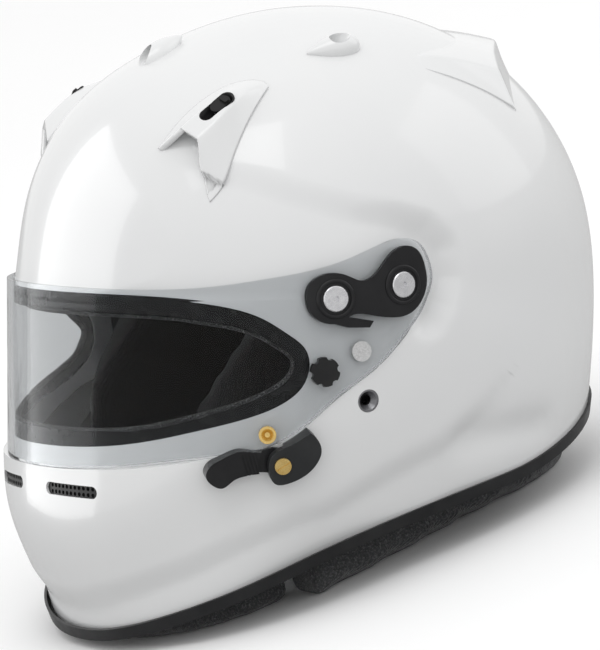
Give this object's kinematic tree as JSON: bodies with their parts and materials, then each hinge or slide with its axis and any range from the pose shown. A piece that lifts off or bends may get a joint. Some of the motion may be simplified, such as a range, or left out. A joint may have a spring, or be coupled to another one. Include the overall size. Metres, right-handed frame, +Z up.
{
  "type": "auto racing helmet",
  "caption": "Full-face motor racing helmet with a swinging clear visor, side arms, visor latch, brow ducts, rear spoiler, padded lining and a fabric neck roll.",
  "frame": {"origin": "on the floor under the middle of the helmet's bounding box", "axes": "+Z up, -Y towards the front of the helmet, +X the wearer's left"},
  "size_m": [0.262, 0.3267, 0.2684],
  "materials": {
    "shell_paint": "gloss white paint on a fibre shell",
    "black_rubber": "satin",
    "trim_rubber": "satin",
    "clear_shield": "clear, faint grey",
    "clear_plastic": "frosted clear",
    "black_plastic": "matte",
    "grey_plastic": "matte dark grey",
    "dark_metal": "satin",
    "bright_metal": "satin",
    "black_metal": "black anodised",
    "brass_metal": "satin",
    "heather_fabric": "heathered dark grey",
    "lining_fabric": "napped black",
    "webbing": "woven black",
    "foam": "moulded black foam"
  },
  "bodies": {
    "shell": {"outer_shell": "shell_paint", "eyeport_gasket": "black_rubber", "edge_trim": "trim_rubber", "pivot_post_left": "dark_metal", "pivot_post_right": "dark_metal", "pivot_screws": "bright_metal", "latch_cover": "grey_plastic", "latch_screw": "brass_metal", "brow_duct_left": "shell_paint", "brow_duct_right": "shell_paint", "centre_intake": "shell_paint", "exhaust_left": "shell_paint", "exhaust_right": "shell_paint", "rear_spoiler": "shell_paint", "chin_vent_grille_left": "black_plastic", "chin_vent_grille_right": "black_plastic", "restraint_insert_left": "black_metal", "restraint_insert_right": "black_metal", "neck_roll": "heather_fabric", "chin_skirt": "heather_fabric", "crown_pad": "lining_fabric", "cheek_pad_left": "lining_fabric", "cheek_pad_right": "lining_fabric", "impact_liner": "foam", "chin_liner": "foam", "chin_strap_left": "webbing", "chin_strap_right": "webbing"},
    "shield": {"visor": "clear_shield", "visor_arm_left": "black_plastic", "visor_arm_right": "black_plastic", "arm_screws": "bright_metal", "visor_disc": "clear_plastic", "latch_stud": "bright_metal"},
    "tear_off_left": {"tear_off_post_left": "black_plastic"},
    "tear_off_right": {"tear_off_post_right": "black_plastic"},
    "lever": {"latch_lever": "grey_plastic"},
    "slider_left": {"brow_slider_left": "black_plastic"},
    "slider_right": {"brow_slider_right": "black_plastic"},
    "ring": {"strap_ring": "bright_metal"}
  },
  "joints": [
    {"name": "visor_hinge", "type": "hinge", "parent": "shell", "child": "shield", "pos_m": [0, 0.00033, 0.1385], "axis": [-1, 0, 0], "range_deg": [0, 30]},
    {"name": "tear_off_left_turn", "type": "hinge", "parent": "shield", "child": "tear_off_left", "pos_m": [0.12197, -0.04961, 0.11235], "axis": [0.9604, -0.2642, 0.0889], "range_deg": [0, 180]},
    {"name": "tear_off_right_turn", "type": "hinge", "parent": "shield", "child": "tear_off_right", "pos_m": [-0.12197, -0.04961, 0.11235], "axis": [-0.9604, -0.2642, 0.0889], "range_deg": [0, 180]},
    {"name": "latch_lever_turn", "type": "hinge", "parent": "shell", "child": "lever", "pos_m": [0.11249, -0.08109, 0.07779], "axis": [0.9345, -0.3536, -0.04], "range_deg": [0, 24]},
    {"name": "brow_slider_left_slide", "type": "slide", "parent": "shell", "child": "slider_left", "axis": [0.0359, 0.9485, 0.3147], "range_m": [-0.005, 0]},
    {"name": "brow_slider_right_slide", "type": "slide", "parent": "shell", "child": "slider_right", "axis": [-0.0359, 0.9485, 0.3147], "range_m": [-0.005, 0]},
    {"name": "strap_ring_swing", "type": "hinge", "parent": "shell", "child": "ring", "pos_m": [-0.05205, 0.0112, 0.034], "axis": [0, -1, 0], "range_deg": [0, 60]}
  ]
}
